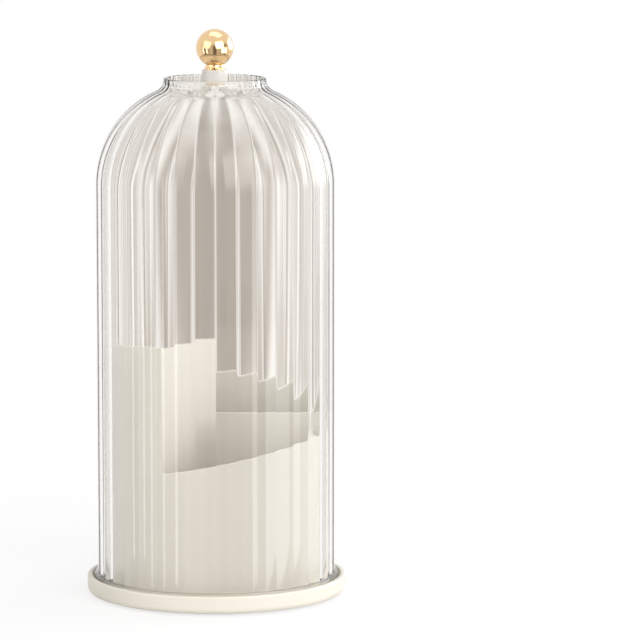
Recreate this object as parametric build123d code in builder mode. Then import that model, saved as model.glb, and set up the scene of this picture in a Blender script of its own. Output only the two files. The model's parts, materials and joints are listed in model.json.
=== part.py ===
from build123d import *
import os
from math import acos, cos, degrees, radians, sin, sqrt

# Rotating holder for makeup brushes: a round tray that turns on a ball race, a cup with three
# compartments of climbing height, and a clear fluted dome that lifts off by its gold knob.
# Millimetres, +Z up, origin on the table under the middle of the tray, front towards -Y.

# Dome cover
dome_diameter = 128.8        # over the crests of the flutes
dome_wall = 2.2              # at the valley between two flutes
flute_count = 36
flute_depth = 0.5
dome_straight_height = 216.4
shoulder_radius = 54.0       # of the arc that closes the dome
shoulder_ring_count = 7
collar_diameter = 55.2
collar_wall = 2.0
collar_lip_height = 0.7
neck_fillet_radius = 7.0     # hollow between shoulder and collar
neck_ring_count = 5
top_plate_thickness = 2.6
top_plate_recess = 2.8       # top plate below the collar's edge
dome_flange_width = 1.8      # round foot ring beyond the crests of the flutes
dome_flange_thickness = 4.6
dome_flange_round = 0.5

# Knob on the dome
knob_stem_diameter = 13.8
knob_stem_height = 7.3
knob_stem_round = 0.6
knob_ball_diameter = 20.3
knob_neck_height = 1.4       # from the stem to the lowest point of the ball
knob_neck_diameter = 9.6
knob_flange_diameter = 11.0
knob_flange_height = 0.8
knob_screw_diameter = 3.0
knob_screw_grip = 7.0        # length of screw inside the ball
knob_screw_head_diameter = 6.0
knob_screw_head_height = 2.2
knob_washer_diameter = 9.0
knob_washer_thickness = 0.8

# Tray that turns
rim_gap = 1.0                # between the dome's foot ring and the rim
rim_width = 2.8
rim_outer_round = 1.2
rim_inner_round = 0.8
tray_lower_round = 3.0
tray_lift = 1.2              # tray above the table
channel_depth = 3.8          # bottom of the dome below the rim
plateau_rise = 2.5           # raised middle above the channel
plateau_round = 0.6
dome_locating_gap = 0.6      # between the plateau and the inside of the dome
tray_web = 2.4               # tray over the turntable's recess
recess_wall = 1.2            # plateau's edge to the recess below it

# Foot disc and its rubber feet
foot_disc_gap = 1.5          # inside the tray's recess
foot_disc_thickness = 2.2
foot_disc_round = 0.5
foot_count = 4
foot_turn = 45.0
foot_diameter = 12.0
foot_show = 0.8              # rubber below the disc
foot_pocket_depth = 1.2
foot_pocket_gap = 0.1
foot_margin = 2.0            # disc outside the feet
foot_round = 0.4

# Ball race between foot disc and tray
ball_count = 12
ball_diameter = 3.0
race_gap = 1.6               # between the disc and the tray
race_clearance = 0.3
race_margin = 4.0            # from the feet's pockets to the race
cage_width = 8.0
cage_thickness = 0.9
cage_pocket_gap = 0.15

# Pivot in the middle
pivot_diameter = 10.0
pivot_clearance = 0.1
pivot_play = 0.3             # end play under the washer
pivot_well_gap = 2.0         # around the washer
pivot_washer_diameter = 16.0
pivot_washer_thickness = 0.8
pivot_screw_diameter = 4.0
pivot_screw_grip = 4.6
pivot_screw_head_diameter = 7.4
pivot_screw_head_height = 2.4

# Holder with three compartments
compartment_count = 3
holder_turn = -121.0         # direction of the partition between the tall and the low compartment
holder_gap = 5.3             # to the inside of the dome
holder_wall = 2.0
holder_floor = 2.0
holder_foot_height = 4.0     # floor above the tray
holder_rim_round = 0.7
partition_thickness = 1.8
rim_middle_height = 68.9     # lowest slanted rim, at the holder's axis, above the tray
rim_swing = 10.9             # rise of a slanted rim from the axis to the outer wall
rim_step = 25.9              # from one compartment's rim to the next
holder_screw_diameter = 3.0
holder_screw_head_diameter = 5.6
holder_screw_head_height = 1.8
holder_screw_grip = 4.4
holder_boss_wall = 2.0
holder_boss_sink = 1.2       # boss into the outer wall

# Fits that repeat
screw_clearance = 0.2        # around a screw that passes through
thread_clearance = 0.05      # around a screw in its own hole
head_clearance = 0.4         # around and over a sunk head
drill_point = 0.6            # hole past the tip of a screw
screw_slot_width = 1.0
screw_slot_share = 0.6       # cross recess across the head
screw_slot_depth_share = 0.5
screw_head_round_share = 0.3
overrun = 1.0                # cuts past a face

# Radii, from the dome outwards and inwards
dome_radius = dome_diameter / 2
dome_inner_radius = dome_radius - flute_depth - dome_wall
dome_flange_radius = dome_radius + dome_flange_width
rim_inner_radius = dome_flange_radius + rim_gap
tray_radius = rim_inner_radius + rim_width
plateau_radius = dome_inner_radius - dome_locating_gap
recess_radius = plateau_radius - recess_wall
foot_disc_radius = recess_radius - foot_disc_gap
foot_pocket_radius = foot_diameter / 2 + foot_pocket_gap
foot_circle_radius = foot_disc_radius - foot_margin - foot_pocket_radius
race_radius = foot_circle_radius - foot_pocket_radius - race_margin
groove_radius = ball_diameter / 2 + race_clearance
pivot_bore_radius = pivot_diameter / 2 + pivot_clearance
pivot_well_radius = pivot_washer_diameter / 2 + pivot_well_gap
holder_radius = dome_inner_radius - holder_gap
holder_inner_radius = holder_radius - holder_wall
holder_boss_radius = holder_screw_diameter / 2 + holder_boss_wall
holder_screw_circle = holder_inner_radius - holder_boss_radius + holder_boss_sink
collar_radius = collar_diameter / 2

# Levels, from the table up
foot_disc_bottom = foot_show
foot_disc_top = foot_disc_bottom + foot_disc_thickness
ball_level = foot_disc_top + race_gap / 2
recess_ceiling = foot_disc_top + race_gap
channel_floor = recess_ceiling + tray_web
rim_top = channel_floor + channel_depth
dome_flange_top = channel_floor + dome_flange_thickness
plateau_top = channel_floor + plateau_rise
pivot_top = channel_floor + pivot_play
holder_floor_bottom = plateau_top + holder_foot_height
holder_floor_top = holder_floor_bottom + holder_floor
shoulder_level = channel_floor + dome_straight_height

# Outline of the dome: an arc for the shoulder, then a hollow arc up to the collar
shoulder_centre_radius = dome_radius - shoulder_radius
neck_centre_radius = collar_radius + neck_fillet_radius
neck_reach = shoulder_radius + neck_fillet_radius
neck_offset = neck_centre_radius - shoulder_centre_radius
neck_level = shoulder_level + sqrt(neck_reach**2 - neck_offset**2)
shoulder_end_angle = degrees(acos(neck_offset / neck_reach))
collar_top = neck_level + collar_lip_height
top_plate_level = collar_top - top_plate_recess
knob_base = top_plate_level + knob_stem_height

os.makedirs("parts", exist_ok=True)


def around(radius, angle):
    """A point on a circle about the axis."""
    return (radius * cos(radians(angle)), radius * sin(radians(angle)))


def corner(sketch, spot):
    """The corner of a sketch that lies at a spot."""
    return sketch.vertices().sort_by_distance((*spot, 0))[0]


def screw(head_diameter, head_height, shank_diameter, shank_length, seat):
    """A pan-head screw with a cross recess: head above the seat plane, shank below it."""
    with BuildPart() as made:
        with BuildSketch(seat):
            Circle(head_diameter / 2)
        extrude(amount=head_height)
        top_edge = made.faces().sort_by(Axis(seat.origin, seat.z_dir))[-1].edges()
        fillet(top_edge, head_height * screw_head_round_share)
        with BuildSketch(seat.offset(head_height)):
            Rectangle(head_diameter * screw_slot_share, screw_slot_width)
            Rectangle(screw_slot_width, head_diameter * screw_slot_share)
        extrude(amount=-head_height * screw_slot_depth_share, mode=Mode.SUBTRACT)
        with BuildSketch(seat):
            Circle(shank_diameter / 2)
        extrude(amount=-shank_length)
    return made.part


# Foot disc: it stays still on the table and carries the race and the pivot
with BuildPart() as foot_disc:
    with BuildSketch(Plane.XY.offset(foot_disc_bottom)):
        Circle(foot_disc_radius)
    extrude(amount=foot_disc_thickness)
    fillet(foot_disc.edges().sort_by(Axis.Z)[0], foot_disc_round)
    with BuildSketch(Plane.XY.offset(foot_disc_top)):
        Circle(pivot_diameter / 2)
    extrude(amount=pivot_top - foot_disc_top)
    with BuildSketch(Plane.XZ):
        with Locations((race_radius, ball_level)):
            Circle(groove_radius)
    revolve(axis=Axis.Z, mode=Mode.SUBTRACT)
    with BuildSketch(Plane.XY.offset(foot_disc_bottom)):
        with PolarLocations(foot_circle_radius, foot_count, start_angle=foot_turn):
            Circle(foot_pocket_radius)
    extrude(amount=foot_pocket_depth, mode=Mode.SUBTRACT)
    with BuildSketch(Plane.XY.offset(pivot_top)):
        Circle(pivot_screw_diameter / 2 + thread_clearance)
    extrude(amount=-pivot_screw_grip - drill_point, mode=Mode.SUBTRACT)

foot_disc.part.label = "foot_disc"
export_step(foot_disc.part, "parts/foot_disc.step")

# Rubber feet: pads that stand out of the disc's pockets
foot_thickness = foot_show + foot_pocket_depth
for foot in range(foot_count):
    foot_place = around(foot_circle_radius, foot_turn + foot * 360 / foot_count)
    with BuildPart() as rubber_foot:
        with BuildSketch():
            with Locations(foot_place):
                Circle(foot_diameter / 2)
        extrude(amount=foot_thickness)
        fillet(rubber_foot.edges().sort_by(Axis.Z)[0], foot_round)
    rubber_foot.part.label = f"rubber_foot_{foot + 1}"
    export_step(rubber_foot.part, f"parts/rubber_foot_{foot + 1}.step")

# Ball cage: a flat ring with one pocket for each ball
with BuildPart() as ball_cage:
    with BuildSketch(Plane.XY.offset(ball_level - cage_thickness / 2)):
        Circle(race_radius + cage_width / 2)
        Circle(race_radius - cage_width / 2, mode=Mode.SUBTRACT)
        with PolarLocations(race_radius, ball_count):
            Circle(ball_diameter / 2 + cage_pocket_gap, mode=Mode.SUBTRACT)
    extrude(amount=cage_thickness)

ball_cage.part.label = "ball_cage"
export_step(ball_cage.part, "parts/ball_cage.step")

# Bearing balls
for ball in range(ball_count):
    ball_x, ball_y = around(race_radius, ball * 360 / ball_count)
    with BuildPart() as bearing_ball:
        with Locations((ball_x, ball_y, ball_level)):
            Sphere(ball_diameter / 2)
    bearing_ball.part.label = f"bearing_ball_{ball + 1:02d}"
    export_step(bearing_ball.part, f"parts/bearing_ball_{ball + 1:02d}.step")

# Tray: a rim, a channel for the dome's foot ring, a raised middle and a recess below for the turntable
tray_outline = [
    (pivot_bore_radius, recess_ceiling),
    (recess_radius, recess_ceiling),
    (recess_radius, tray_lift),
    (tray_radius, tray_lift),
    (tray_radius, rim_top),
    (rim_inner_radius, rim_top),
    (rim_inner_radius, channel_floor),
    (plateau_radius, channel_floor),
    (plateau_radius, plateau_top),
    (pivot_well_radius, plateau_top),
    (pivot_well_radius, channel_floor),
    (pivot_bore_radius, channel_floor),
]
holder_screw_turn = holder_turn + 180 / compartment_count
with BuildPart() as base_tray:
    with BuildSketch(Plane.XZ) as tray_profile:
        with BuildLine():
            Polyline(*tray_outline, close=True)
        make_face()
        fillet(corner(tray_profile, (tray_radius, tray_lift)), tray_lower_round)
        fillet(corner(tray_profile, (tray_radius, rim_top)), rim_outer_round)
        fillet(corner(tray_profile, (rim_inner_radius, rim_top)), rim_inner_round)
        fillet(corner(tray_profile, (plateau_radius, plateau_top)), plateau_round)
    revolve(axis=Axis.Z)
    with BuildSketch(Plane.XZ):
        with Locations((race_radius, ball_level)):
            Circle(groove_radius)
    revolve(axis=Axis.Z, mode=Mode.SUBTRACT)
    with BuildSketch(Plane.XY.offset(recess_ceiling)):
        with PolarLocations(holder_screw_circle, compartment_count, start_angle=holder_screw_turn):
            Circle(holder_screw_head_diameter / 2 + head_clearance)
    extrude(amount=holder_screw_head_height + head_clearance, mode=Mode.SUBTRACT)
    with BuildSketch(Plane.XY.offset(recess_ceiling)):
        with PolarLocations(holder_screw_circle, compartment_count, start_angle=holder_screw_turn):
            Circle(holder_screw_diameter / 2 + screw_clearance)
    extrude(amount=plateau_top - recess_ceiling + overrun, mode=Mode.SUBTRACT)

base_tray.part.label = "base_tray"
export_step(base_tray.part, "parts/base_tray.step")

# Pivot washer and screw: they hold the tray down on the foot disc and let it turn
with BuildPart() as pivot_washer:
    with BuildSketch(Plane.XY.offset(pivot_top)):
        Circle(pivot_washer_diameter / 2)
        Circle(pivot_screw_diameter / 2 + screw_clearance, mode=Mode.SUBTRACT)
    extrude(amount=pivot_washer_thickness)

pivot_washer.part.label = "pivot_washer"
export_step(pivot_washer.part, "parts/pivot_washer.step")

with BuildPart() as pivot_screw:
    add(
        screw(
            pivot_screw_head_diameter,
            pivot_screw_head_height,
            pivot_screw_diameter,
            pivot_washer_thickness + pivot_screw_grip,
            Plane.XY.offset(pivot_top + pivot_washer_thickness),
        )
    )

pivot_screw.part.label = "pivot_screw"
export_step(pivot_screw.part, "parts/pivot_screw.step")

# Walls of the holder: one for each compartment, cut off by a slanted plane, each a step higher
compartment_angle = 360 / compartment_count
rim_slope = rim_swing / holder_radius
wall_top = plateau_top + rim_middle_height + rim_step * (compartment_count - 1) + rim_swing + overrun


def partition_angle(number):
    """Direction of a partition from the axis."""
    return holder_turn + compartment_angle * number


def partition_face(number, side):
    """Upright plane on one face of a partition, looking to the left of its direction."""
    leftward = Vector(*around(1, partition_angle(number) + 90), 0)
    return Plane(origin=leftward * (side * partition_thickness / 2), z_dir=leftward)


def rim_rise_angle(number):
    """Direction in which a compartment's rim climbs."""
    return partition_angle(number + 1)


def rim_plane(number):
    """Slanted plane along a compartment's rim."""
    level = plateau_top + rim_middle_height + rim_step * number
    uphill = around(rim_slope, rim_rise_angle(number))
    return Plane(origin=(0, 0, level), z_dir=(-uphill[0], -uphill[1], 1))


def rim_level(number, angle, radius):
    """Height of a compartment's rim at a place in plan."""
    middle = plateau_top + rim_middle_height + rim_step * number
    return middle + rim_slope * radius * cos(radians(angle - rim_rise_angle(number)))


walls = []
for number in range(compartment_count):
    first_side = 1 if number == 0 else -1
    last_side = 1 if number == compartment_count - 1 else -1
    with BuildPart() as wall:
        with BuildSketch(Plane.XY.offset(plateau_top)):
            Circle(holder_radius)
            Circle(holder_inner_radius, mode=Mode.SUBTRACT)
        extrude(amount=wall_top - plateau_top)
        split(bisect_by=partition_face(number, first_side), keep=Keep.TOP)
        split(bisect_by=partition_face(number + 1, last_side), keep=Keep.BOTTOM)
        split(bisect_by=rim_plane(number), keep=Keep.BOTTOM)
        rim_edges = wall.edges().filter_by(GeomType.ELLIPSE)
        fillet(rim_edges, holder_rim_round)
    walls.append(wall.part)

# Holder: walls, a floor raised on the wall's foot, the partitions and three screw bosses
partition_reach = holder_inner_radius + holder_wall / 2
with BuildPart() as holder:
    for wall_part in walls:
        add(wall_part)
    with BuildSketch(Plane.XY.offset(holder_floor_bottom)):
        Circle(partition_reach)
    extrude(amount=holder_floor)
    for number in range(compartment_count):
        taller = compartment_count - 1 if number == 0 else number
        top = rim_level(taller, partition_angle(number), holder_inner_radius) - holder_rim_round
        with BuildSketch(Plane.XY.offset(holder_floor_top)):
            with Locations(Location((0, 0), partition_angle(number))):
                Rectangle(partition_reach, partition_thickness, align=(Align.MIN, Align.CENTER))
        extrude(amount=top - holder_floor_top)
    with BuildSketch(Plane.XY.offset(plateau_top)):
        with PolarLocations(holder_screw_circle, compartment_count, start_angle=holder_screw_turn):
            Circle(holder_boss_radius)
    extrude(amount=holder_foot_height)
    with BuildSketch(Plane.XY.offset(plateau_top)):
        with PolarLocations(holder_screw_circle, compartment_count, start_angle=holder_screw_turn):
            Circle(holder_screw_diameter / 2 + thread_clearance)
    extrude(amount=holder_screw_grip + drill_point, mode=Mode.SUBTRACT)

holder.part.label = "holder"
export_step(holder.part, "parts/holder.step")

# Holder screws: from the tray's recess up into the bosses
screw_seat_level = recess_ceiling + holder_screw_head_height + head_clearance
with BuildPart() as holder_screws:
    for number in range(compartment_count):
        screw_place = around(holder_screw_circle, holder_screw_turn + compartment_angle * number)
        add(
            screw(
                holder_screw_head_diameter,
                holder_screw_head_height,
                holder_screw_diameter,
                plateau_top - screw_seat_level + holder_screw_grip,
                Plane(origin=(*screw_place, screw_seat_level), z_dir=(0, 0, -1)),
            )
        )

holder_screws.part.label = "holder_screws"
export_step(holder_screws.part, "parts/holder_screws.step")

# Dome cover: fluted outside, smooth inside, on a round foot ring, with a fluted collar round a sunk plate
flute_angle = 360 / flute_count


def shoulder_ring(share):
    """Radius and level of a ring on the shoulder, from its foot to the neck."""
    reach, rise = around(shoulder_radius, shoulder_end_angle * share)
    return shoulder_centre_radius + reach, shoulder_level + rise


def neck_ring(share):
    """Radius and level of a ring on the hollow neck, from the shoulder to the collar."""
    reach, drop = around(neck_fillet_radius, shoulder_end_angle * (1 - share))
    return neck_centre_radius - reach, neck_level - drop


def flutes(radius):
    """Start, crest and end of each convex flute of a ring, crests on the given radius."""
    valley = radius * (1 - flute_depth / dome_radius)
    return [
        (
            around(valley, flute_angle * flute),
            around(radius, flute_angle * (flute + 1 / 2)),
            around(valley, flute_angle * (flute + 1)),
        )
        for flute in range(flute_count)
    ]


plate_bottom = top_plate_level - top_plate_thickness
collar_inner_radius = collar_radius * (1 - flute_depth / dome_radius) - collar_wall
cavity_shoulder = dome_inner_radius - shoulder_centre_radius
cavity_neck = neck_reach - cavity_shoulder
cavity_top_radius = neck_centre_radius - sqrt(cavity_neck**2 - (neck_level - plate_bottom) ** 2)
cavity_turn = around(cavity_shoulder, shoulder_end_angle)
cavity_turn_spot = (shoulder_centre_radius + cavity_turn[0], shoulder_level + cavity_turn[1])
with BuildPart() as dome_cover:
    for step in range(shoulder_ring_count):
        ring_radius, ring_level = shoulder_ring(step / (shoulder_ring_count - 1))
        with BuildSketch(Plane.XY.offset(ring_level)):
            with BuildLine():
                for start, crest, end in flutes(ring_radius):
                    ThreePointArc(start, crest, end)
            make_face()
    loft()
    shoulder_foot = dome_cover.faces().sort_by(Axis.Z)[0]
    extrude(shoulder_foot, amount=dome_straight_height)
    for step in range(neck_ring_count):
        ring_radius, ring_level = neck_ring(step / (neck_ring_count - 1))
        with BuildSketch(Plane.XY.offset(ring_level)):
            with BuildLine():
                for start, crest, end in flutes(ring_radius):
                    ThreePointArc(start, crest, end)
            make_face()
    loft()
    collar_foot = dome_cover.faces().sort_by(Axis.Z)[-1]
    extrude(collar_foot, amount=collar_lip_height)
    with BuildSketch(Plane.XZ) as flange_profile:
        with Locations((0, channel_floor)):
            Rectangle(dome_flange_radius, dome_flange_thickness, align=(Align.MIN, Align.MIN))
        fillet(corner(flange_profile, (dome_flange_radius, dome_flange_top)), dome_flange_round)
    revolve(axis=Axis.Z)
    with BuildSketch(Plane.XZ):
        with BuildLine():
            Line((0, channel_floor), (dome_inner_radius, channel_floor))
            Line((dome_inner_radius, channel_floor), (dome_inner_radius, shoulder_level))
            shoulder_arc = TangentArc(
                (dome_inner_radius, shoulder_level),
                cavity_turn_spot,
                tangent=(0, 1),
            )
            TangentArc(
                cavity_turn_spot,
                (cavity_top_radius, plate_bottom),
                tangent=shoulder_arc % 1,
            )
            Line((cavity_top_radius, plate_bottom), (0, plate_bottom))
            Line((0, plate_bottom), (0, channel_floor))
        make_face()
    revolve(axis=Axis.Z, mode=Mode.SUBTRACT)
    with BuildSketch(Plane.XY.offset(top_plate_level)):
        Circle(collar_inner_radius)
    extrude(amount=top_plate_recess + overrun, mode=Mode.SUBTRACT)
    with BuildSketch(Plane.XY.offset(plate_bottom)):
        Circle(knob_screw_diameter / 2 + screw_clearance)
    extrude(amount=top_plate_thickness + overrun, mode=Mode.SUBTRACT)

dome_cover.part.label = "dome_cover"
export_step(dome_cover.part, "parts/dome_cover.step")

# Knob stem: a white spacer on the top plate
with BuildPart() as knob_stem:
    with BuildSketch(Plane.XY.offset(top_plate_level)):
        Circle(knob_stem_diameter / 2)
    extrude(amount=knob_stem_height)
    fillet(knob_stem.edges().sort_by(Axis.Z)[-1], knob_stem_round)
    with BuildSketch(Plane.XY.offset(top_plate_level)):
        Circle(knob_screw_diameter / 2 + screw_clearance)
    extrude(amount=knob_stem_height, mode=Mode.SUBTRACT)

knob_stem.part.label = "knob_stem"
export_step(knob_stem.part, "parts/knob_stem.step")

# Knob ball: a ball on a short flared neck, tapped from below
ball_radius = knob_ball_diameter / 2
ball_centre = knob_base + knob_neck_height + ball_radius
neck_radius = knob_neck_diameter / 2
neck_meets_ball = ball_centre - sqrt(ball_radius**2 - neck_radius**2)
flange_radius = knob_flange_diameter / 2
with BuildPart() as knob_ball:
    with BuildSketch(Plane.XZ):
        with BuildLine():
            Line((0, knob_base), (flange_radius, knob_base))
            Line((flange_radius, knob_base), (flange_radius, knob_base + knob_flange_height))
            TangentArc(
                (neck_radius, neck_meets_ball),
                (flange_radius, knob_base + knob_flange_height),
                tangent=(0, -1),
            )
            ThreePointArc(
                (neck_radius, neck_meets_ball),
                (ball_radius, ball_centre),
                (0, ball_centre + ball_radius),
            )
            Line((0, ball_centre + ball_radius), (0, knob_base))
        make_face()
    revolve(axis=Axis.Z)
    with BuildSketch(Plane.XY.offset(knob_base)):
        Circle(knob_screw_diameter / 2 + thread_clearance)
    extrude(amount=knob_screw_grip + drill_point, mode=Mode.SUBTRACT)

knob_ball.part.label = "knob_ball"
export_step(knob_ball.part, "parts/knob_ball.step")

# Knob washer and screw: from inside the dome, through the top plate and the stem into the ball
with BuildPart() as knob_washer:
    with BuildSketch(Plane.XY.offset(plate_bottom)):
        Circle(knob_washer_diameter / 2)
        Circle(knob_screw_diameter / 2 + screw_clearance, mode=Mode.SUBTRACT)
    extrude(amount=-knob_washer_thickness)

knob_washer.part.label = "knob_washer"
export_step(knob_washer.part, "parts/knob_washer.step")

with BuildPart() as knob_screw:
    add(
        screw(
            knob_screw_head_diameter,
            knob_screw_head_height,
            knob_screw_diameter,
            knob_washer_thickness + top_plate_thickness + knob_stem_height + knob_screw_grip,
            Plane(origin=(0, 0, plate_bottom - knob_washer_thickness), z_dir=(0, 0, -1)),
        )
    )

knob_screw.part.label = "knob_screw"
export_step(knob_screw.part, "parts/knob_screw.step")
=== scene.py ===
# %% [markdown]
# # A rotating holder for makeup brushes
# A clear fluted dome stands over a cup with three compartments, on a cream tray that turns on a ball
# race. The solids come measured, as a fixed frame. This lesson dresses them: it gives every piece its
# finish, makes a finer dome, and sets up the studio. Nothing is moved or resized, so every size below
# is read from the frame or is the same real size in metres.

# %% Load the measured solids
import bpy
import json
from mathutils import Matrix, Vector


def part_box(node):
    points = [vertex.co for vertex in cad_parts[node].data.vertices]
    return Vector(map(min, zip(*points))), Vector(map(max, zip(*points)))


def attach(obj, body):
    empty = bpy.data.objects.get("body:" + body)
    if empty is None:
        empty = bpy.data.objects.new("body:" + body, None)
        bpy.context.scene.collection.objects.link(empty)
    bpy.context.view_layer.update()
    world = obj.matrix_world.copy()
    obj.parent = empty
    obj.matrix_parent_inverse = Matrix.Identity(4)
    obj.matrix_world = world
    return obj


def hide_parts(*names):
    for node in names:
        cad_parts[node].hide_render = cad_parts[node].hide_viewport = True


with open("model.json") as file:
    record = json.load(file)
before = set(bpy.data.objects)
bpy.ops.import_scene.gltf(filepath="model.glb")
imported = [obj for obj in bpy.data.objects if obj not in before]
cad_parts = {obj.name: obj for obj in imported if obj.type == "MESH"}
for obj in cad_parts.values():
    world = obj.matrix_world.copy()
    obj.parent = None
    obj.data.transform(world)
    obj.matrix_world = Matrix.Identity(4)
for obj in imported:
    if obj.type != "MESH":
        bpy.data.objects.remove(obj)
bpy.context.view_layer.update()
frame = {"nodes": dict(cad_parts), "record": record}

nodes = frame["nodes"]

# %% [markdown]
# ## Camera
# The product is seen from a little above, through a long lens, so its upright edges stay almost
# parallel. A short lens close by would swell the dome and shrink the tray. The place, tilt and lens
# below were solved from the ellipse of the tray and the height of the knob, and the small turn puts
# the object left of the middle.

# %% Camera at the photograph's angle
import bpy
from math import acos, atan2, cos, degrees, pi, radians, sin, sqrt
from mathutils import Vector

camera_place = (0.0, -2.356, 0.475)
camera_tilt = radians(7.88)
camera_turn = radians(1.37)
camera_lens = 247.7

scene = bpy.context.scene
camera = bpy.data.objects.new("studio_camera", bpy.data.cameras.new("studio_camera"))
camera.data.lens = camera_lens
camera.location = camera_place
camera.rotation_euler = (pi / 2 - camera_tilt, 0, -camera_turn)
scene.collection.objects.link(camera)
scene.camera = camera
scene.view_settings.view_transform = "Standard"
print("camera", camera_place, "lens", camera_lens)

# %% [markdown]
# ## A short way to write shader nodes
# Every finish below is a small tree of nodes. Writing each node, its settings and its links takes many
# lines, so one helper makes a node, and takes either a plain value or another node's socket for each
# input. A second one writes a sum in one line.

# %% Helpers for shader nodes


def put(tree, kind, inputs=None, **settings):
    """One shader node, with its settings, and a value or a linked socket for each named input."""
    node = tree.nodes.new(kind)
    for name, value in settings.items():
        setattr(node, name, value)
    for name, value in (inputs or {}).items():
        if isinstance(value, bpy.types.NodeSocket):
            tree.links.new(value, node.inputs[name])
        else:
            node.inputs[name].default_value = value
    return node


def sum_up(tree, operation, first, second=0.0):
    """The result of one sum on one or two values or sockets."""
    return put(tree, "ShaderNodeMath", {0: first, 1: second}, operation=operation).outputs[0]


print("helpers", put.__name__, sum_up.__name__)

# %% [markdown]
# ## Skin of a moulded part
# A moulded part copies its mould: a spark-eroded mould leaves a fine grain, and the flow of the melt
# leaves broad, faint changes of gloss and tone. One group makes all three from noise in the object's
# own coordinates, so every plastic, metal and rubber piece can use it with its own grain. An image
# would need unwrapping, and noise doesn't. The scale of a noise counts its cells per metre.

# %% Node group for moulded skin
mm = 0.001


def shader_group(name, inputs, outputs):
    """An empty node group with number sockets, and the sockets inside it to link from and to."""
    group = bpy.data.node_groups.new(name, "ShaderNodeTree")
    for label, value in inputs.items():
        socket = group.interface.new_socket(label, in_out="INPUT", socket_type="NodeSocketFloat")
        socket.default_value = value
    for label in outputs:
        group.interface.new_socket(label, in_out="OUTPUT", socket_type="NodeSocketFloat")
    entry = group.nodes.new("NodeGroupInput")
    leave = group.nodes.new("NodeGroupOutput")
    return group, entry.outputs, leave.inputs


skin_outputs = ("Grain", "Gloss", "Tone")
moulded_skin, given, result = shader_group("moulded_skin", {"Grain Size": 0.3 * mm}, skin_outputs)
where = put(moulded_skin, "ShaderNodeTexCoord").outputs["Object"]
grains_per_metre = sum_up(moulded_skin, "DIVIDE", 1.0, given["Grain Size"])
skin_noises = {
    "Grain": {"Vector": where, "Scale": grains_per_metre, "Detail": 2.0, "Roughness": 0.55},
    "Gloss": {"Vector": where, "Scale": 90.0, "Detail": 3.0, "Roughness": 0.6, "Distortion": 0.4},
    "Tone": {"Vector": where, "Scale": 14.0, "Detail": 2.0, "Roughness": 0.5},
}
for label, values in skin_noises.items():
    noise = put(moulded_skin, "ShaderNodeTexNoise", values)
    moulded_skin.links.new(noise.outputs["Fac"], result[label])
print("group", moulded_skin.name, "with", len(moulded_skin.nodes), "nodes")

# %% [markdown]
# ## Marks of handling
# Polished pieces show what matt ones hide: hairline scratches from wiping, and soft smudges from
# fingers. Scratches could be drawn as many thin curves, but a thin contour of stretched noise gives
# endless fine lines for a few nodes. Two such layers at different angles look like random wiping.
# Smudges are the high parts of a softer noise.

# %% Node group for handling marks
marks, given, result = shader_group("handling_marks", {"Line Width": 0.006}, ("Scratch", "Smudge"))
where = put(marks, "ShaderNodeTexCoord").outputs["Object"]
scratch_turns = ((0.3, 0.2, 0.5), (1.1, -0.4, 2.0))
scratch_stretch = (420.0, 26.0, 26.0)
noise_middle = 0.5
layers = []
for turn in scratch_turns:
    stretched = {"Vector": where, "Rotation": turn, "Scale": scratch_stretch}
    lined = put(marks, "ShaderNodeMapping", stretched).outputs["Vector"]
    noise = put(marks, "ShaderNodeTexNoise", {"Vector": lined, "Scale": 1.0, "Detail": 1.0})
    off_middle = sum_up(marks, "SUBTRACT", noise.outputs["Fac"], noise_middle)
    distance = sum_up(marks, "ABSOLUTE", off_middle)
    layers.append(sum_up(marks, "LESS_THAN", distance, given["Line Width"]))
scratch = sum_up(marks, "MAXIMUM", layers[0], layers[1])
thumb_noise = {"Vector": where, "Scale": 55.0, "Detail": 4.0, "Roughness": 0.65}
thumb = put(marks, "ShaderNodeTexNoise", thumb_noise).outputs["Fac"]
smudge = put(marks, "ShaderNodeMapRange", {"Value": thumb, "From Min": 0.48, "From Max": 0.72})
marks.links.new(scratch, result["Scratch"])
marks.links.new(smudge.outputs[0], result["Smudge"])
print("group", marks.name, "with", len(marks.nodes), "nodes")

# %% [markdown]
# ## Helpers for finishes
# A real surface is never one number. Most finishes below move between two close colours and two close
# roughness values, and a mask says where. Two helpers write those moves, and two more start a material
# and find its shader.

# %% Helpers for finishes


def spread(tree, value, low, high):
    """A mask from 0 to 1, stretched to lie between two values."""
    return put(tree, "ShaderNodeMapRange", {"Value": value, "To Min": low, "To Max": high}).outputs[0]


def between(tree, mask, first, second):
    """A colour that goes from the first to the second as a mask goes from 0 to 1."""
    mix = put(tree, "ShaderNodeMix", {"Factor": mask}, data_type="RGBA")
    mix.inputs["A"].default_value = (*first, 1)
    mix.inputs["B"].default_value = (*second, 1)
    return mix.outputs["Result"]


def principled(material):
    """The Principled shader of a material."""
    return material.node_tree.nodes["Principled BSDF"]


def finish(name):
    """A new material with its tree and its Principled shader."""
    material = bpy.data.materials.new(name)
    material.use_nodes = True
    return material, material.node_tree, principled(material)


print("helpers", spread.__name__, between.__name__, finish.__name__)

# %% [markdown]
# ## Satin plastics and rubber
# Tray, foot disc, cup, ball cage and feet are all moulded, and differ in colour, gloss and grain. One
# function makes such a finish: tone and gloss move between two close values, and the grain is a shallow
# bump. A flat colour would look like a drawing, and strong noise would look like stone, so the two ends
# stay close together.

# %% Satin plastics and rubber


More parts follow.
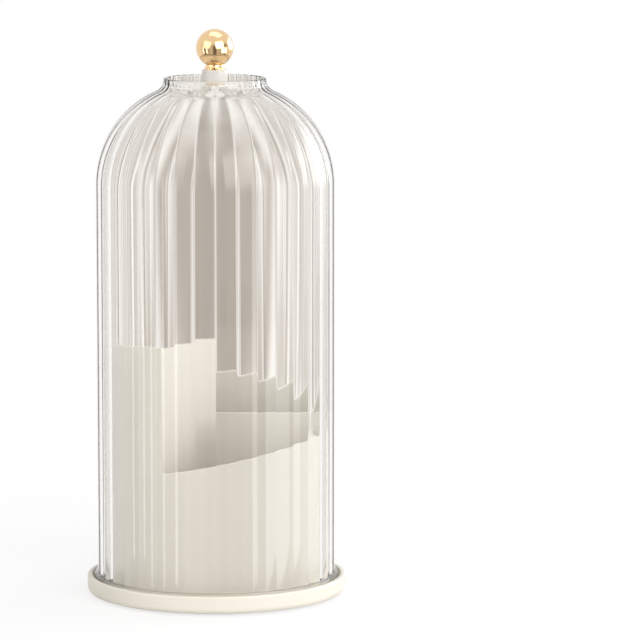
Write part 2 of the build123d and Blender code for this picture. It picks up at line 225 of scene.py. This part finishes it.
def moulded(name, shade, tint, smooth, rough, grain_size, grain_depth):
    """A moulded finish between two close colours and two close roughness values, with a fine grain."""
    material, tree, shader = finish(name)
    skin = put(tree, "ShaderNodeGroup", node_tree=moulded_skin)
    skin.inputs["Grain Size"].default_value = grain_size
    tree.links.new(between(tree, skin.outputs["Tone"], shade, tint), shader.inputs["Base Color"])
    tree.links.new(spread(tree, skin.outputs["Gloss"], smooth, rough), shader.inputs["Roughness"])
    bump = put(tree, "ShaderNodeBump", {"Height": skin.outputs["Grain"], "Distance": grain_depth})
    tree.links.new(bump.outputs["Normal"], shader.inputs["Normal"])
    return material


cream = moulded(
    "cream_satin",
    shade=(0.71, 0.675, 0.60),
    tint=(0.74, 0.705, 0.63),
    smooth=0.36,
    rough=0.50,
    grain_size=0.35 * mm,
    grain_depth=0.012 * mm,
)
# The cup is lighter than the tray partly in its own colour, partly as painted light for what the dome
# takes.
cup_white_and_painted_light = moulded(
    "cup_satin_and_painted_light",
    shade=(0.89, 0.865, 0.80),
    tint=(0.92, 0.895, 0.83),
    smooth=0.30,
    rough=0.42,
    grain_size=0.30 * mm,
    grain_depth=0.008 * mm,
)
nylon = moulded(
    "nylon_cage",
    shade=(0.78, 0.77, 0.72),
    tint=(0.84, 0.83, 0.79),
    smooth=0.40,
    rough=0.55,
    grain_size=0.20 * mm,
    grain_depth=0.010 * mm,
)
principled(nylon).inputs["Subsurface Weight"].default_value = 0.15
principled(nylon).inputs["Subsurface Radius"].default_value = (1.2 * mm, 1.0 * mm, 0.8 * mm)
rubber = moulded(
    "foot_rubber",
    shade=(0.018, 0.018, 0.019),
    tint=(0.030, 0.030, 0.031),
    smooth=0.70,
    rough=0.88,
    grain_size=0.25 * mm,
    grain_depth=0.025 * mm,
)
principled(rubber).inputs["Specular IOR Level"].default_value = 0.35
print("satin finishes", [m.name for m in (cream, cup_white_and_painted_light, nylon, rubber)])

# %% [markdown]
# ## Polished white stem
# The stem under the knob is glossy white. Gloss means a low roughness, and what keeps it from looking
# like a computer picture is that the roughness rises a little in smudges and along hairline scratches.

# %% Polished white


def worn_mask(tree, line_width=None):
    """Where a polished piece is smudged or scratched, with a width for its scratches if given."""
    handled = put(tree, "ShaderNodeGroup", node_tree=marks)
    if line_width is not None:
        handled.inputs["Line Width"].default_value = line_width
    return sum_up(tree, "MAXIMUM", handled.outputs["Smudge"], handled.outputs["Scratch"])


def polished(name, shade, tint, smooth, rough, ripple_size, ripple):
    """A polished finish between two close colours, rougher where it is worn, with a faint ripple."""
    material, tree, shader = finish(name)
    skin = put(tree, "ShaderNodeGroup", node_tree=moulded_skin)
    skin.inputs["Grain Size"].default_value = ripple_size
    tree.links.new(between(tree, skin.outputs["Tone"], shade, tint), shader.inputs["Base Color"])
    tree.links.new(spread(tree, worn_mask(tree), smooth, rough), shader.inputs["Roughness"])
    bump = put(tree, "ShaderNodeBump", {"Height": skin.outputs["Grain"], "Distance": ripple})
    tree.links.new(bump.outputs["Normal"], shader.inputs["Normal"])
    return material


# The stem's colour is kept below white as painted shade, which offsets the strong light at the top.
stem_white_and_painted_shade = polished(
    "stem_gloss_and_painted_shade",
    shade=(0.66, 0.64, 0.60),
    tint=(0.71, 0.69, 0.65),
    smooth=0.12,
    rough=0.26,
    ripple_size=1.5 * mm,
    ripple=0.02 * mm,
)
print("gloss finish", stem_white_and_painted_shade.name)

# %% [markdown]
# ## Plated and polished metals
# The knob is plated in gold, the screws in brass or zinc, and the balls are polished steel. All are
# mirrors that differ in colour and in how clean the mirror is, so they are the polished finish with
# metal switched on. Metal has almost no look of its own: most of what shows on it is the studio.

# %% Metals
metal_ripple_size = 2.0 * mm


def plated(name, shade, tint, smooth, rough, ripple):
    """A polished finish in metal."""
    material = polished(name, shade, tint, smooth, rough, metal_ripple_size, ripple)
    principled(material).inputs["Metallic"].default_value = 1.0
    return material


gold = plated(
    "gold_plate",
    shade=(0.83, 0.57, 0.30),
    tint=(0.87, 0.62, 0.35),
    smooth=0.05,
    rough=0.13,
    ripple=0.006 * mm,
)
brass = plated(
    "brass_plate",
    shade=(0.72, 0.54, 0.27),
    tint=(0.80, 0.61, 0.33),
    smooth=0.16,
    rough=0.32,
    ripple=0.010 * mm,
)
zinc = plated(
    "zinc_plate",
    shade=(0.56, 0.57, 0.60),
    tint=(0.66, 0.65, 0.62),
    smooth=0.26,
    rough=0.46,
    ripple=0.020 * mm,
)
steel = plated(
    "ball_steel",
    shade=(0.70, 0.70, 0.72),
    tint=(0.74, 0.74, 0.75),
    smooth=0.06,
    rough=0.14,
    ripple=0.004 * mm,
)
print("metals", [m.name for m in (gold, brass, zinc, steel)])

# %% [markdown]
# ## Clear plastic of the dome
# The shell bends light a little less than acrylic does, which keeps its edges light, and it is faintly
# warm where two walls lie behind each other. Lamps can't be sampled through bent light, so the inside
# of a true glass shell stays dark and noisy. The usual way round it is used here: rays from lamps pass
# the shell straight and hardly tinted, and every other ray is bent.

# %% Clear plastic
clear_scratch_width = 0.004
clear_worn_roughness = 0.035

clear, tree, shader = finish("clear_shell")
shader.inputs["Base Color"].default_value = (0.985, 0.972, 0.950, 1)
shader.inputs["Transmission Weight"].default_value = 1.0
shader.inputs["IOR"].default_value = 1.47
clear_roughness = spread(tree, worn_mask(tree, clear_scratch_width), 0.0, clear_worn_roughness)
tree.links.new(clear_roughness, shader.inputs["Roughness"])
path = put(tree, "ShaderNodeLightPath").outputs
straight = put(tree, "ShaderNodeBsdfTransparent", {"Color": (1.0, 0.995, 0.985, 1)}).outputs[0]
both_ways = {0: path["Is Shadow Ray"], 1: shader.outputs[0], 2: straight}
clear_surface = put(tree, "ShaderNodeMixShader", both_ways).outputs[0]
tree.links.new(clear_surface, tree.nodes["Material Output"].inputs["Surface"])
print("clear finish", clear.name)

# %% [markdown]
# ## Give every solid its finish
# The record names a material slot for each solid. A table from slot to finish keeps the choice in one
# place, and a new solid in a known slot is dressed without another line.

# %% Finishes by slot
finish_of = {
    "cream_plastic": cream,
    "holder_plastic": cup_white_and_painted_light,
    "clear_plastic": clear,
    "white_plastic": stem_white_and_painted_shade,
    "gold_metal": gold,
    "brass_screw": brass,
    "screw_steel": zinc,
    "ball_steel": steel,
    "cage_plastic": nylon,
    "foot_rubber": rubber,
}
for part in frame["record"]["subparts"]:
    for place in nodes[part["node"]].material_slots:
        place.material = finish_of[part["material_slot"]]

# %% [markdown]
# ## The fluted dome
# The dome is one moulding: 36 rounded flutes outside, a smooth wall inside, a foot ring, a hollow neck,
# a collar and a sunk top plate. Light shows every facet of a clear shell, so it needs a finer mesh than
# the measured solid has. A lathe can't make flutes and a sculpted dome wouldn't be even, so the mesh is
# worked out: a profile of rings, each ring a circle or a circle with flutes. The main sizes are those
# of the measured solid.

# %% Sizes of the dome
dome_radius = 64.4 * mm
dome_inner_radius = 61.7 * mm
shoulder_radius = 54.0 * mm
collar_radius = 27.6 * mm
collar_wall = 2.0 * mm
collar_lip = 0.7 * mm
neck_radius = 7.0 * mm
plate_thickness = 2.6 * mm
plate_recess = 2.8 * mm
plate_gap = 0.1 * mm         # hairline between the plate and the collar
screw_hole_radius = 1.7 * mm
flute_depth = 0.5 * mm
flute_count = 36
flange_width = 1.8 * mm
flange_thickness = 4.6 * mm
flange_round = 0.5 * mm
foot_hollow = 0.4 * mm       # round between the flutes and the foot ring
edge_round = 0.45 * mm
collar_round = 0.68 * mm
seat_gap = 0.06 * mm         # keeps the clear faces off the solids that they rest on
flute_share = flute_depth / dome_radius
print("dome", round(2 * dome_radius, 4), "across, with", flute_count, "flutes")

# %% [markdown]
# ## Profile of the dome
# The shoulder is one large arc and the neck a small one that bends the other way. They touch where the
# line between their middles crosses both, so a right-angled triangle gives the height of the shoulder's
# middle and the angle where it ends. The inner wall has the same middles, with other radii, so the wall
# is even through the neck.

# %% Profile of the dome
dome_low, dome_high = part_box("dome_cover")
foot_level = dome_low.z + seat_gap
flange_top = dome_low.z + flange_thickness
flange_radius = dome_radius + flange_width
collar_top = dome_high.z
neck_level = collar_top - collar_lip
centre_radius = dome_radius - shoulder_radius
neck_reach = shoulder_radius + neck_radius
neck_offset = collar_radius + neck_radius - centre_radius
shoulder_level = neck_level - sqrt(neck_reach**2 - neck_offset**2)
shoulder_end = atan2(neck_level - shoulder_level, neck_offset)
collar_inner = collar_radius * (1 - flute_share) - collar_wall
cavity_radius = dome_inner_radius - centre_radius
neck_hollow = neck_reach - cavity_radius
hollow_start = acos((collar_radius + neck_radius - collar_inner) / neck_hollow)
plate_radius = collar_inner - plate_gap
plate_top = collar_top - plate_recess - seat_gap
plate_bottom = collar_top - plate_recess - plate_thickness + seat_gap
print("shoulder", round(shoulder_level, 4), "ends at", round(degrees(shoulder_end), 1), "degrees")

# %% [markdown]
# ## Satin foot ring
# The ring at the dome's foot looks pale instead of clear, as a ring does that its mould leaves satin. It
# is the same plastic, so it stays in the same finish: a mask by height raises the roughness below the
# top of the ring.

# %% Satin foot ring
ring_roughness = 0.16
ring_fade = 0.3 * mm

tree = clear.node_tree
where = put(tree, "ShaderNodeTexCoord").outputs["Object"]
height = put(tree, "ShaderNodeSeparateXYZ", {0: where}).outputs["Z"]
ring_edges = {
    "Value": height,
    "From Min": flange_top + ring_fade,
    "From Max": flange_top,
    "To Max": ring_roughness,
}
ring_mask = put(tree, "ShaderNodeMapRange", ring_edges).outputs[0]
roughness = sum_up(tree, "MAXIMUM", clear_roughness, ring_mask)
tree.links.new(roughness, principled(clear).inputs["Roughness"])
print("satin below", round(flange_top, 4))

# %% [markdown]
# ## Rings of the dome
# The wall's profile runs up the outside, over the collar's edge and back down the inside, so the rings
# close on themselves and the shell is watertight, as clear shells must be. The top plate is a closed
# disc of its own, a hairline away from the collar, because light is caught in a joined corner and leaves
# it black. Each edge of the wall has a small round, as on a real moulding, which catches a line of light.

# %% Rings of the dome
shoulder_steps = 30
neck_steps = 10
edge_steps = 4


def arc(centre, radius, start, end, steps):
    """Points (distance from the axis, height) on an arc, angles from outwards to up."""
    turns = [start + (end - start) * step / steps for step in range(steps + 1)]
    return [(centre[0] + radius * cos(turn), centre[1] + radius * sin(turn)) for turn in turns]


def rounded(corner, inward, upward, radius):
    """A rounded edge at a corner, where inward and upward are -1 or 1 towards the solid's middle."""
    middle = (corner[0] + inward * radius, corner[1] + upward * radius)
    side = 0 if inward < 0 else pi
    top = pi / 2 if upward < 0 else -pi / 2
    if side == pi and top < 0:
        side = -pi
    return arc(middle, radius, side, top, edge_steps)


flange_middle = (flange_radius - flange_round, flange_top - flange_round)
hollow_middle = (dome_radius + foot_hollow, flange_top + foot_hollow)
shoulder_middle = (centre_radius, shoulder_level)
neck_middle = (collar_radius + neck_radius, neck_level)

foot_ring = list(reversed(rounded((flange_radius, foot_level), -1, 1, edge_round)))
foot_ring += arc(flange_middle, flange_round, 0, pi / 2, edge_steps)
outside = arc(hollow_middle, foot_hollow, -pi / 2, -pi, edge_steps)
outside += arc(shoulder_middle, shoulder_radius, 0, shoulder_end, shoulder_steps)
outside += arc(neck_middle, neck_radius, pi + shoulder_end, pi, neck_steps)[1:]
outside += rounded((collar_radius, collar_top), -1, -1, collar_round)
inside = list(reversed(rounded((collar_inner, collar_top), 1, -1, collar_round)))
inside += arc(neck_middle, neck_hollow, pi + hollow_start, pi + shoulder_end, neck_steps)
inside += arc(shoulder_middle, cavity_radius, shoulder_end, 0, shoulder_steps)[1:]
inside += rounded((dome_inner_radius, foot_level), 1, 1, edge_round)
plate = [(plate_radius, plate_bottom), (plate_radius, plate_top)]
plate += [(screw_hole_radius, plate_top), (screw_hole_radius, plate_bottom)]
print("rings of the foot", len(foot_ring), "outside", len(outside), "inside", len(inside))

# %% [markdown]
# ## Flutes round each ring
# Across one flute the surface is a shallow arch, and where two arches meet the mould leaves a small
# round instead of a sharp groove. The arch is a parabola, and its last stretch bends back to level.
# Points crowd towards the grooves, where the surface turns fastest: a sine does that.

# %% Flutes round each ring
points_per_flute = 12
groove_share = 0.05          # rounded part of half a flute


def arch(share):
    """Depth below the crest, 0 to 1, at a place across a flute, -1 to 1."""
    across = abs(share)
    straight_part = min(across, 1 - groove_share)
    rest = across - straight_part
    bend = 2 * (1 - groove_share) * (rest - rest**2 / (2 * groove_share))
    return (straight_part**2 + bend) / (1 - groove_share)


def ring_points(radius, height, fluted):
    """One ring of the dome's mesh."""
    ring = []
    for flute in range(flute_count):
        for point in range(points_per_flute):
            across = sin(pi / 2 * (2 * point / points_per_flute - 1))
            turn = 2 * pi / flute_count * (flute + 1 / 2 + across / 2)
            reach = radius * (1 - flute_share * arch(across)) if fluted else radius
            ring.append((reach * cos(turn), reach * sin(turn), height))
    return ring


wall_rings = [ring_points(*ring, False) for ring in foot_ring]
wall_rings += [ring_points(*ring, True) for ring in outside]
wall_rings += [ring_points(*ring, False) for ring in inside]
plate_rings = [ring_points(*ring, False) for ring in plate]
print("rings of the wall", len(wall_rings), "points in each", len(wall_rings[0]))

# %% [markdown]
# ## Mesh of the dome
# All rings have the same number of points, so a band of four-sided faces joins each ring to the next,
# and the last to the first. The finished mesh stands for the dome's measured solid and lifts with it.
# Smooth shading hides the facets, and only true edges stay sharp.

# %% Mesh of the dome
sharp_angle = radians(35)
around = flute_count * points_per_flute
points = []
faces = []


def close_up(rings):
    """Add rings to the mesh, with a band of faces from each to the next and from the last to the first."""
    first = len(points)
    for ring in range(len(rings)):
        points.extend(rings[ring])
        low = first + ring * around
        high = first + (ring + 1) % len(rings) * around
        for point in range(around):
            beside = (point + 1) % around
            faces.append((low + point, low + beside, high + beside, high + point))


close_up(wall_rings)
close_up(plate_rings)
dome_mesh = bpy.data.meshes.new("dome_shell")
dome_mesh.from_pydata(points, [], faces)
dome_mesh.validate()
dome_mesh.shade_smooth()
dome_mesh.set_sharp_from_angle(angle=sharp_angle)
dome_mesh.materials.append(clear)
dome_shell = bpy.data.objects.new("dome_shell", dome_mesh)
scene.collection.objects.link(dome_shell)
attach(dome_shell, "dome")
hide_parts("dome_cover")
print("dome faces", len(dome_mesh.polygons))

# %% [markdown]
# ## Soft panels
# White things on white need light with a direction: a large soft panel to the right of the camera, a
# weaker one to the left, one above and one behind on the right. Each fades at its top and bottom,
# because a hard edge shows as a step on the dome's shoulder. A lamp's power grows with its size, so each
# panel is given the brightness of its face instead. The panels themselves show only in reflections.

# %% Soft panels
watts_per_level = 4.0        # an area lamp's power for a face of brightness 1 on one square metre
soft_edge = 0.35             # share of a panel's height over which it fades at top and bottom
white = (1.0, 1.0, 1.0)
object_middle = (0.0, 0.0, 0.15)


def smooth_step(tree, value, start, end):
    """0 where a value is at its start, 1 where it is at its end, and a smooth change between."""
    values = {"Value": value, "From Min": start, "From Max": end}
    return put(tree, "ShaderNodeMapRange", values, interpolation_type="SMOOTHSTEP").outputs[0]


def soften(lamp):
    """Let a panel fade towards its top and bottom, with the same light in all."""
    lamp.use_nodes = True
    tree = lamp.node_tree
    place = put(tree, "ShaderNodeNewGeometry").outputs["Parametric"]
    upward = put(tree, "ShaderNodeSeparateXYZ", {0: place}).outputs["Y"]
    inset = sum_up(tree, "MINIMUM", upward, sum_up(tree, "SUBTRACT", 1.0, upward))
    strength = smooth_step(tree, inset, 0.0, soft_edge)
    strength = sum_up(tree, "DIVIDE", strength, 1 - soft_edge)
    tree.links.new(strength, tree.nodes["Emission"].inputs["Strength"])


def panel(name, place, size, level, aim=object_middle, colour=white):
    """A soft panel that faces a point, with a face of that brightness."""
    width, height = size
    lamp = bpy.data.lights.new(name, "AREA")
    lamp.shape = "RECTANGLE"
    lamp.size = width
    lamp.size_y = height
    lamp.energy = level * width * height * watts_per_level
    lamp.color = colour
    soften(lamp)
    holder = bpy.data.objects.new(name, lamp)
    holder.location = place
    holder.rotation_euler = (Vector(aim) - Vector(place)).to_track_quat("-Z", "Y").to_euler()
    holder.visible_camera = False
    holder.visible_transmission = False
    scene.collection.objects.link(holder)
    return holder


panels = [
    panel("key_panel", (0.80, -1.35, 0.85), size=(1.5, 1.7), level=1.90, colour=(1.0, 0.985, 0.96)),
    panel("fill_panel", (-1.25, -0.95, 0.80), size=(1.4, 1.6), level=0.70, colour=(1.0, 0.98, 0.95)),
    panel("top_panel", (0.1, 0.2, 1.8), size=(1.4, 1.4), level=0.60),
    panel("rear_panel", (1.45, 0.75, 0.55), size=(1.3, 1.3), level=2.2),
]
print("panels", [p.name for p in panels])

# %% [markdown]
# ## Strips for reflections
# A photographer sets narrow strips beside glossy things, to draw a line of light along them. Two strips
# at the left and a board at the right do that here. They are kept out of matt light, so that they show
# only as reflections in glossy pieces.

# %% Strips for reflections
strip_aim = (0.0, 0.0, 0.12)
strips = [
    panel("strip_left", (-0.46, -0.38, 0.12), size=(0.05, 0.6), level=2.0, aim=strip_aim),
    panel("strip_far_left", (-0.58, -0.16, 0.12), size=(0.06, 0.6), level=2.0, aim=strip_aim),
    panel("board_right", (0.54, -0.30, 0.12), size=(0.42, 0.6), level=1.5, aim=strip_aim),
]
for strip in strips:
    strip.visible_diffuse = False
print("strips", [s.name for s in strips])

# %% [markdown]
# ## What mirrors and clear plastic see
# Metal and clear plastic show what is round them, and a studio that is white everywhere would leave them
# without shape. So the studio is plain white to the camera, but through the dome it has fine white bands
# with warm gaps, straight behind the object, and mirrors see broader bands with deep gaps on the camera's
# side. Two waves of different length, added up, make the bands uneven, like light panels with gaps
# between them. A ray that has met a matt surface doesn't count as looking.

# %% Bands of the studio
clear_bands = 96             # waves round the studio, seen through the dome
mirror_bands = 10            # waves round the studio, seen in mirrors
slow_share = 0.62            # count of the second wave, as a share of the first's
band_power = 1.2             # above 1 the bands are narrower than the gaps
side_start = 0.02            # sine of the angle off the middle where bands start to fade to white
side_end = 0.62
ahead_start = -0.2           # cosine of the angle from straight behind where mirrors turn to white
ahead_end = 0.3
front_share = 0.10           # how plain the white is that mirrors see on the camera's side
gap_level = 0.45             # brightness of the gaps seen through the dome
mirror_gap_level = 0.05      # brightness of the gaps seen in mirrors
gap_colour = (1.0, 0.915, 0.825)
wave_reach = 2.0             # two cosines add up to this at most
before_first_bounce = 0.5    # between no matt bounce and one


def seen_share(tree, path):
    """1 for rays that see the studio directly, in a mirror or through the dome, 0 for matt light."""
    looks = sum_up(tree, "MAXIMUM", path["Is Camera Ray"], path["Is Glossy Ray"])
    looks = sum_up(tree, "MAXIMUM", looks, path["Is Transmission Ray"])
    first = sum_up(tree, "LESS_THAN", path["Diffuse Depth"], before_first_bounce)
    return sum_up(tree, "MULTIPLY", looks, first)


def band_gaps(tree, turn, bands):
    """1 in the middle of a gap and 0 in the middle of a band, at a turn round the studio."""
    turned = sum_up(tree, "MULTIPLY", turn, bands)
    slower = sum_up(tree, "COSINE", sum_up(tree, "MULTIPLY", turned, slow_share))
    wave = sum_up(tree, "ADD", sum_up(tree, "COSINE", turned), slower)
    wave_ends = {"Value": wave, "From Min": wave_reach, "From Max": -wave_reach}
    band = put(tree, "ShaderNodeMapRange", wave_ends).outputs[0]
    return sum_up(tree, "SUBTRACT", 1.0, sum_up(tree, "POWER", band, band_power))


def studio_glow(tree, spot, dim, path):
    """Colour and brightness of the studio: white for the camera, with gaps for mirrors and the dome."""
    axes = put(tree, "ShaderNodeSeparateXYZ", {0: spot}).outputs
    turn = sum_up(tree, "ARCTAN2", axes["X"], axes["Y"])
    sideways = sum_up(tree, "ABSOLUTE", sum_up(tree, "SINE", turn))
    beside = smooth_step(tree, sideways, side_start, side_end)
    ahead = smooth_step(tree, sum_up(tree, "COSINE", turn), ahead_start, ahead_end)
    through = path["Is Transmission Ray"]
    views = {"Factor": through, "A": spread(tree, ahead, front_share, 1.0), "B": beside}
    plain = put(tree, "ShaderNodeMix", views).outputs["Result"]
    plain = sum_up(tree, "MAXIMUM", plain, path["Is Camera Ray"])
    dim = sum_up(tree, "MULTIPLY", dim, sum_up(tree, "SUBTRACT", 1.0, plain))
    gaps = band_gaps(tree, turn, spread(tree, through, mirror_bands, clear_bands))
    shade = sum_up(tree, "MULTIPLY", gaps, dim)
    deepest = spread(tree, through, mirror_gap_level, gap_level)
    return between(tree, shade, white, gap_colour), spread(tree, shade, 1.0, deepest)


print("bands through the dome", clear_bands, "in mirrors", mirror_bands)

# %% [markdown]
# ## White floor
# The floor glows white for every ray that looks at it, which gives an even white without more light on
# the object. Near the tray it shows a share of its own shade, so a soft shadow stays there. Matt light
# meets a plain pale floor. From below the floor is open, so that the feet can be looked at.

# %% White floor
floor_reach = 30.0
shadow_share = 0.25          # how much of its own shade the floor shows near the tray
shadow_near = 0.10
shadow_far = 0.50

floor_white, tree, shader = finish("floor_white")
shader.inputs["Base Color"].default_value = (0.9, 0.9, 0.9, 1)
shader.inputs["Roughness"].default_value = 0.9
path = put(tree, "ShaderNodeLightPath").outputs
surface = put(tree, "ShaderNodeNewGeometry").outputs
spot = surface["Position"]
reach = put(tree, "ShaderNodeVectorMath", {0: spot}, operation="LENGTH").outputs["Value"]
colour, level = studio_glow(tree, spot, 1.0, path)
glow = put(tree, "ShaderNodeEmission", {"Color": colour, "Strength": level}).outputs[0]
near = smooth_step(tree, reach, shadow_far, shadow_near)
glow_share = spread(tree, near, 1.0, 1 - shadow_share)
share = sum_up(tree, "MULTIPLY", seen_share(tree, path), glow_share)
from_above = put(tree, "ShaderNodeMixShader", {0: share, 1: shader.outputs[0], 2: glow}).outputs[0]
from_below = put(tree, "ShaderNodeBsdfTransparent").outputs[0]
sides = {0: surface["Backfacing"], 1: from_above, 2: from_below}
floor_surface = put(tree, "ShaderNodeMixShader", sides).outputs[0]
tree.links.new(floor_surface, tree.nodes["Material Output"].inputs["Surface"])

floor_mesh = bpy.data.meshes.new("floor")
corner_signs = ((-1, -1), (1, -1), (1, 1), (-1, 1))
corners = [(x * floor_reach, y * floor_reach, 0.0) for x, y in corner_signs]
floor_mesh.from_pydata(corners, [], [(0, 1, 2, 3)])
floor_mesh.materials.append(floor_white)
floor = bpy.data.objects.new("floor", floor_mesh)
scene.collection.objects.link(floor)
print("floor", floor.name, "reaches", floor_reach)

# %% [markdown]
# ## Surroundings
# The world carries the floor's white on, with the same bands, which fade to plain white overhead. Matt
# surfaces get a weaker light of even strength from it, so that the panels give the shape.

# %% Surroundings
ceiling_low = 0.10
ceiling_high = 0.60
plain_level = 0.55

world = bpy.data.worlds.new("studio_world")
world.use_nodes = True
scene.world = world
tree = world.node_tree
path = put(tree, "ShaderNodeLightPath").outputs
toward = put(tree, "ShaderNodeTexCoord").outputs["Generated"]
rise = put(tree, "ShaderNodeSeparateXYZ", {0: toward}).outputs["Z"]
low_part = sum_up(tree, "SUBTRACT", 1.0, smooth_step(tree, rise, ceiling_low, ceiling_high))
colour, level = studio_glow(tree, toward, low_part, path)
strengths = {"Factor": seen_share(tree, path), "A": plain_level, "B": level}
strength = put(tree, "ShaderNodeMix", strengths).outputs["Result"]
tree.links.new(colour, tree.nodes["Background"].inputs["Color"])
tree.links.new(strength, tree.nodes["Background"].inputs["Strength"])
print("world", world.name)

# %% [markdown]
# ## End
# The last cell only loads the json module.

# %% Last import
import json
